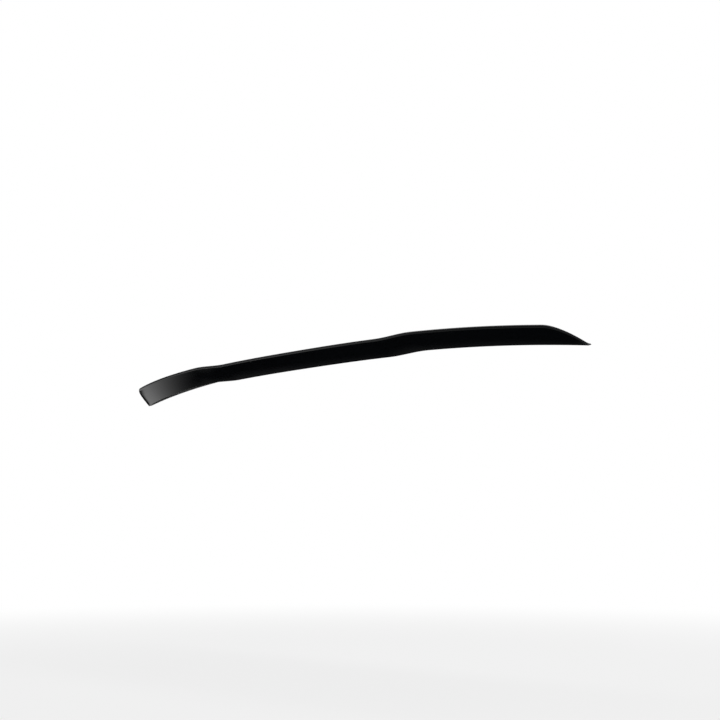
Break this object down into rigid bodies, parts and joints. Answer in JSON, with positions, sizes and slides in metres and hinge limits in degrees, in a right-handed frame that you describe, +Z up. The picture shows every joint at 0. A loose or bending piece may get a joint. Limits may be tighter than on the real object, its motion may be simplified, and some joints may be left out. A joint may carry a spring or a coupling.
{
  "type": "spoiler extension",
  "caption": "Gloss black moulded lip that seats on the trailing edge of a car's roof spoiler and carries its line back and up to a thin rounded edge.",
  "frame": {"origin": "middle of the foot line, where the rear skin meets the trailing edge of the spoiler that carries it", "axes": "+X to the right of the car along the span, +Y forward, +Z up"},
  "size_m": [1.2, 0.1209, 0.049],
  "materials": {
    "gloss_shell": "polished gloss black moulded plastic"
  },
  "bodies": {
    "root": {"spoiler_extension": "gloss_shell"}
  },
  "joints": []
}
